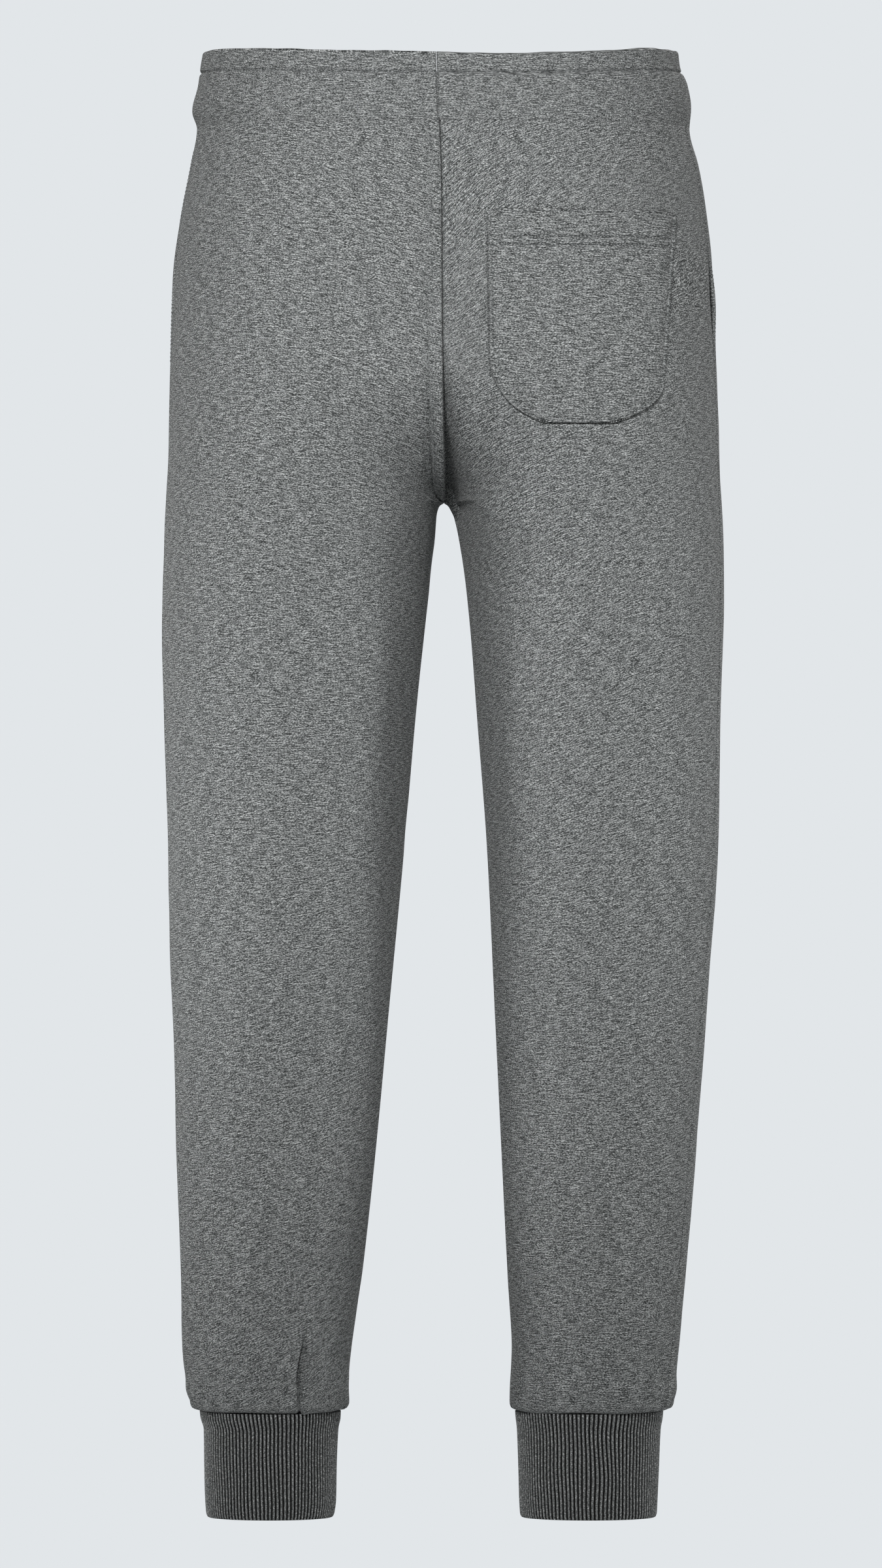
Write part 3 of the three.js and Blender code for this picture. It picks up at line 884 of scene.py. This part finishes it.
# Back patch pocket: one piece of fleece on the wearer's right, hemmed at the top with twin needles.
# Its edges are turned under and topstitched close to the edge, and its lower corners are round.
pocket_cloth = 1.7
pocket_lift = 0.75
pocket_hem = 24.3
hem_stitched = (17.9, 23.7)
corner_fold = (40.4, 33.0)
hem_extra = 0.8
# The grooves and swells along its turned edge, its outer side, its hem and its corner fold
edge_drop = 0.5
edge_swell = 0.7
edge_groove = 0.35
outer_hollow = 2.0
hem_groove = 1.6
fold_groove = 0.8


def pocket_point(z, share, lift):
    """A point over the right back panel, from the pocket's outer edge to its inner one."""
    inner, outer = pocket_edges(z)
    way = way_at("right", z, mix(outer, inner, share))
    point, normal = on_cloth("right", 1, z, way, pulled=False)
    return point + normal * lift, normal


def pocket_relief(z, share):
    """The turned edge, the stitched line inside it, the hem and its two needle lines."""
    inner, outer = pocket_edges(z)
    width = outer - inner
    lean = 1.0 if z > pocket_bottom + 40 else 0.75
    from_side = min(width * share * lean, width * (1 - share) * lean)
    edge = min(from_side, z - pocket_bottom, pocket_top - z + 1.0)
    lift = -edge_drop * bump(edge, 0.4) + edge_swell * bump(edge - 1.0, 0.8)
    lift -= edge_groove * bump(edge - 2.6, 0.8)
    lift -= outer_hollow * smooth(1 - width * share / 9) * smooth((z - pocket_bottom - 16) / 16)
    below = pocket_top - z
    lift += hem_extra * smooth((pocket_hem + 1.0 - below) / 1.0)
    for line in hem_stitched:
        lift -= hem_groove * bump(below - line, 0.8) * smooth((from_side - 1) / 8)
    fold_gap = mix(outer, inner, share) - mix(*corner_fold, clamp(below / pocket_hem * 1.4))
    return lift - fold_groove * bump(fold_gap, 0.9) * smooth(1.6 - below / 12)


rows, grain = [], []
hem_rows, pocket_rows, pocket_columns = 46, 76, 110
heights = [pocket_top - 0.6 * i for i in range(hem_rows)]
below_hem = heights[-1] - 0.6
downs = [math.sin(i / pocket_rows * quarter) for i in range(pocket_rows + 1)]
heights += [mix(below_hem, pocket_bottom, down) for down in downs]
for z in heights:
    inner, outer = pocket_edges(z)
    row, places = [], []
    for j in range(pocket_columns + 1):
        share = crowd_edges(j / pocket_columns, 0.8)
        lift = pocket_lift + pocket_cloth + pocket_relief(z, share)
        row.append(pocket_point(z, share, lift)[0])
        across = mix(outer, inner, share)
        places.append((across / 1000, (z + 0.05 * across) / 1000))
    rows.append(row)
    grain.append(places)
bm = cloth_grid(rows, grain, flip=True)
back_pocket = finish_piece("fleece_back_pocket", bm, heather_fleece, "back_pocket")
give_thickness(back_pocket, pocket_cloth)


# Cuffs: one by one rib knit, folded double and sewn to the rolled end of each leg.
# Its ribs run down the leg, draw in below the seam and roll over at the folded lower edge.
cuff_bottom = -991.9
cuff_neck = -931.0
cuff_roll = 3.4
rib_count = 104
rib_pitch = 2.7
rib_top = 0.7
rib_groove = -1.1
points_per_rib = 8
rib_wander = 0.022
rib_lean = {"left": 0.035, "right": -0.03}


def cuff_point(side, z, angle, out):
    """A point round a cuff. The ribs lean a little and wander."""
    outer_edge, inner_edge = cuffs(side + "_outer", z), cuffs(side + "_inner", z)
    half_width = (outer_edge - inner_edge) / 2 + out
    half_depth = cuffs("half_depth", z) + out
    down = (cuff_seam - z) / (cuff_seam - cuff_bottom)
    wander = rib_wander * noise.noise(Vector((angle * 2.2, down * 2.4, signs[side] * 4)))
    turned = angle + rib_lean[side] * down + wander
    x = (outer_edge + inner_edge) / 2 + half_width * math.cos(turned)
    return Vector((signs[side] * x, half_depth * math.sin(turned), z))


def cuff_profile():
    """Heights, how far out and the rib's share: down the outside, round the fold, up the inside."""
    top = cuff_seam - seam_gap
    steps = [(mix(top, cuff_neck, i / 10), 0.0, 1.0) for i in range(10)]
    steps += [(mix(cuff_neck, cuff_bottom + cuff_roll, i / 16), 0.0, 1.0) for i in range(16)]
    for i in range(9):
        angle = math.pi * i / 8
        out = -cuff_thickness / 2 * (1 - math.cos(angle))
        height = cuff_bottom + cuff_roll * (1 - math.sin(angle))
        steps.append((height, out, 0.5 + 0.5 * math.cos(angle)))
    steps += [(mix(cuff_bottom + cuff_roll, top, i / 5), -cuff_thickness, 0.0) for i in range(1, 6)]
    return steps + [steps[0]]


# The rib's colour carries painted shade in its purl wales and painted light on its ribs.
heather_rib = heather_cloth(
    "heather_rib_knit",
    [
        (0.34, "#3c3e3e"), (0.43, "#555757"), (0.50, "#696b6b"), (0.57, "#858787"),
        (0.66, "#b4b5b5"),
    ],
    streak=(0.6, 2.0),
    bump_height=0.15,
    rib_pitch=rib_pitch,
)
around = rib_count * points_per_rib
for side in signs:
    rows, grain = [], []
    for z, out, ribbed in cuff_profile():
        row, places = [], []
        for k in range(around + 1):
            share = k / points_per_rib
            round_top = abs(math.sin(math.pi * share)) ** 0.9
            rib = mix(rib_groove, rib_top, round_top) * ribbed
            angle = 2 * math.pi * (k % around) / around
            row.append(cuff_point(side, z, angle, out + rib))
            places.append((share * rib_pitch / 1000, (z + out) / 1000))
        rows.append(row)
        grain.append(places)
    bm = cloth_grid(rows, grain, flip=signs[side] < 0)
    bmesh.ops.remove_doubles(bm, verts=bm.verts[:], dist=1e-6)
    bmesh.ops.recalc_face_normals(bm, faces=bm.faces[:])
    name = "cuff_" + side
    finish_piece("rib_" + name, bm, heather_rib, name)


# Stitching: grey polyester thread, about nine stitches to 25 mm, half sunk in the soft cloth.
# Twin needles hem the pocket, and single lines hold its edge, the fell, the channel and the slits.
stitch_pitch = 2.8
stitch_length = 1.9
thread = 0.5
# The thread is painted darker than the cloth: painted shade that stands for the shadow in its needle
# holes.
polyester_thread_with_painted_shade = bpy.data.materials.new("polyester_thread_with_painted_shade")
polyester_thread_with_painted_shade.use_nodes = True
tree = polyester_thread_with_painted_shade.node_tree
tree.nodes.clear()
object_place = add(tree, "ShaderNodeTexCoord")
# The thread's two plies show as fine twisted bands 0.6 mm apart
plies = add(tree, "ShaderNodeTexWave", {
    "Vector": object_place.outputs["Object"], "Scale": 1000 / 0.6 / (2 * math.pi), "Distortion": 1.0,
}, bands_direction="DIAGONAL")
# Painted shade: these dark greys make each stitch line show as dark dots, where the needle holes are
# in shadow.
thread_colour_with_painted_shade = colour_ramp(tree, plies.outputs["Fac"], [(0.2, "#3c4041"), (0.8, "#6d7273")])
thread_shader = add(tree, "ShaderNodeBsdfPrincipled", {
    "Base Color": thread_colour_with_painted_shade, "Roughness": 0.6, "IOR": 1.5,
})
add(tree, "ShaderNodeOutputMaterial", {"Surface": thread_shader.outputs["BSDF"]})


def stitch_line(bm, path):
    """Lays stitches end to end along a path of points and the directions out of the cloth there."""
    travelled, next_stitch = 0.0, stitch_pitch / 2
    for (start, normal), (end, _) in zip(path, path[1:]):
        step = end - start
        while travelled + step.length >= next_stitch:
            centre = start + step * ((next_stitch - travelled) / step.length) + normal * thread * 0.1
            along = step.normalized()
            sideways = normal.cross(along).normalized()
            up = along.cross(sideways)
            axes = Matrix((along * stitch_length / 2, sideways * thread / 2, up * thread / 2))
            matrix = Matrix.Translation(centre / 1000) @ (axes.transposed() * 0.001).to_4x4()
            matrix[3][3] = 1.0
            bmesh.ops.create_icosphere(bm, subdivisions=1, radius=1, matrix=matrix)
            next_stitch += stitch_pitch
        travelled += step.length


def stitches(name, paths):
    """One piece of stitching from several lines."""
    bm = bmesh.new()
    for path in paths:
        stitch_line(bm, path)
    for face in bm.faces:
        face.smooth = True
    return finish_piece(name, bm, polyester_thread_with_painted_shade)


pocket_inset = 2.4
corner_inset = 2.2
hem_stitch_lift = pocket_lift + pocket_cloth + hem_extra - 1.1
edge_stitch_lift = pocket_lift + pocket_cloth - 0.25
hem_lines = []
for below in hem_stitched:
    z = pocket_top - below
    inner, outer = pocket_edges(z)
    margin = 3 * pocket_inset / (outer - inner)
    shares = [mix(margin, 1 - margin, k / 60) for k in range(61)]
    hem_lines.append([pocket_point(z, share, hem_stitch_lift) for share in shares])
edge_line = []
for share_side in (0, 1):
    part = []
    for k in range(91):
        z = mix(pocket_top - 4, pocket_bottom + pocket_inset, math.sin(k / 90 * quarter))
        inner, outer = pocket_edges(z)
        rest = z - pocket_bottom
        lean = max(0.0, 1 - rest / 40)
        margin = (pocket_inset + corner_inset * lean) / (outer - inner)
        share = margin if share_side == 0 else 1 - margin
        part.append(pocket_point(z, share, edge_stitch_lift))
    edge_line.append(part)
foot_z = pocket_bottom + pocket_inset
inner, outer = pocket_edges(foot_z)
margin = (pocket_inset + corner_inset) / (outer - inner)
shares = [mix(margin, 1 - margin, k / 12) for k in range(13)]
foot = [pocket_point(foot_z, share, edge_stitch_lift) for share in shares]
pocket_stitches = stitches("pocket_stitches", hem_lines + edge_line + [foot])

fell_path = []
for k in range(121):
    run = mix(band_seam - 3, crotch + 8, k / 120)
    inner = section("left", run)[1]
    fell_path.append(on_cloth("left", 1, run, way_at("left", run, inner + fell_width - fell_inset)))
fell_stitches = stitches("fell_stitches", [fell_path])

slit_paths = []
slit_inset = 5.5
for side in signs:
    for face in (1, -1):
        path = []
        for k in range(61):
            run = mix(slit_top - 2, slit_bottom + 2, k / 60)
            reach = section(side, run)[2 if face > 0 else 3]
            way = seam_way(side, run) + face * slit_inset / reach / quarter
            path.append(on_cloth(side, face, run, way))
        slit_paths.append(path)
slit_stitches = stitches("slit_stitches", slit_paths)

channel_path = []
for side, way in band_ways:
    flat = band_place(side, way, channel_up, 0)
    out = band_relief(flat, channel_up, 0)
    point = band_place(side, way, channel_up, out)
    normal = (point - band_place(side, way, channel_up, out - 1)).normalized()
    channel_path.append((point, normal))
channel_stitches = stitches("channel_stitches", [channel_path])


# Floor, light and camera: a pale floor, a soft key spot above and behind the wearer, a soft spot at
# each side, a weak lamp at the far side and pale surroundings.
background = "#e2e6e9"
floor_height = -1.3
camera_distance = 8.0
picture_height = 1.086
picture_middle = (0.0009, -0.4844)

bm = bmesh.new()
bmesh.ops.create_circle(bm, cap_ends=True, segments=96, radius=3.0)
bmesh.ops.translate(bm, verts=bm.verts[:], vec=(0, 0, floor_height))
floor_mesh = bpy.data.meshes.new("floor")
bm.to_mesh(floor_mesh)
bm.free()
floor_paint = bpy.data.materials.new("pale_floor_paint")
floor_paint.use_nodes = True
floor_shader = floor_paint.node_tree.nodes["Principled BSDF"]
floor_shader.inputs["Base Color"].default_value = linear("#e4e7e9")
floor_shader.inputs["Roughness"].default_value = 0.9
floor_mesh.materials.append(floor_paint)
floor = bpy.data.objects.new("floor", floor_mesh)
bpy.context.scene.collection.objects.link(floor)

world = bpy.data.worlds.new("pale_surroundings")
bpy.context.scene.world = world
world.use_nodes = True
world.node_tree.nodes.clear()
ambient = 0.3
path_kind = add(world.node_tree, "ShaderNodeLightPath")
seen = add(world.node_tree, "ShaderNodeBackground", {"Color": linear(background), "Strength": 1.0})
cast = add(world.node_tree, "ShaderNodeBackground", {
    "Color": linear("#e6e5e3"), "Strength": ambient,
})
both = add(world.node_tree, "ShaderNodeMixShader", {
    0: path_kind.outputs["Is Camera Ray"],
    1: cast.outputs["Background"],
    2: seen.outputs["Background"],
})
add(world.node_tree, "ShaderNodeOutputWorld", {"Surface": both.outputs["Shader"]})


def soft_lamp(name, kind, place, target, size, watts):
    """A soft lamp that points at a place."""
    lamp = bpy.data.lights.new(name, kind)
    if kind == "AREA":
        lamp.size = size
    else:
        lamp.shadow_soft_size = size / 2
    lamp.energy = watts
    lit = bpy.data.objects.new(name, lamp)
    lit.location = place
    lit.rotation_mode = "QUATERNION"
    lit.rotation_quaternion = (Vector(target) - Vector(place)).to_track_quat("-Z", "Y")
    bpy.context.scene.collection.objects.link(lit)
    return lamp


soft_lamp("far_side_lamp", "AREA", (-0.6, -2.2, 0.6), (0, 0, -0.4), 1.6, 26)
spots = [
    ("key_lamp", (0.3, 2.5, 0.7), (0, 0, -0.27), 0.5, 174, 36.0),
    ("left_side_lamp", (2.4, 0.3, -0.55), (0.06, 0, -0.54), 0.7, 90, 25.0),
    ("right_side_lamp", (-2.4, 0.35, -0.45), (-0.06, 0, -0.5), 0.7, 62, 26.0),
]
for name, place, target, size, watts, cone in spots:
    lamp = soft_lamp(name, "SPOT", place, target, size, watts)
    lamp.spot_size = math.radians(cone)
    lamp.spot_blend = 1.0

lens = bpy.data.cameras.new("photo_camera")
lens.sensor_width = 36.0
lens.lens = lens.sensor_width * camera_distance / picture_height
lens.clip_end = 50.0
camera = bpy.data.objects.new("photo_camera", lens)
camera.location = (picture_middle[0], camera_distance, picture_middle[1])
camera.rotation_euler = (math.radians(90), 0, math.radians(180))
bpy.context.scene.collection.objects.link(camera)
bpy.context.scene.camera = camera
bpy.context.scene.view_settings.view_transform = "Standard"
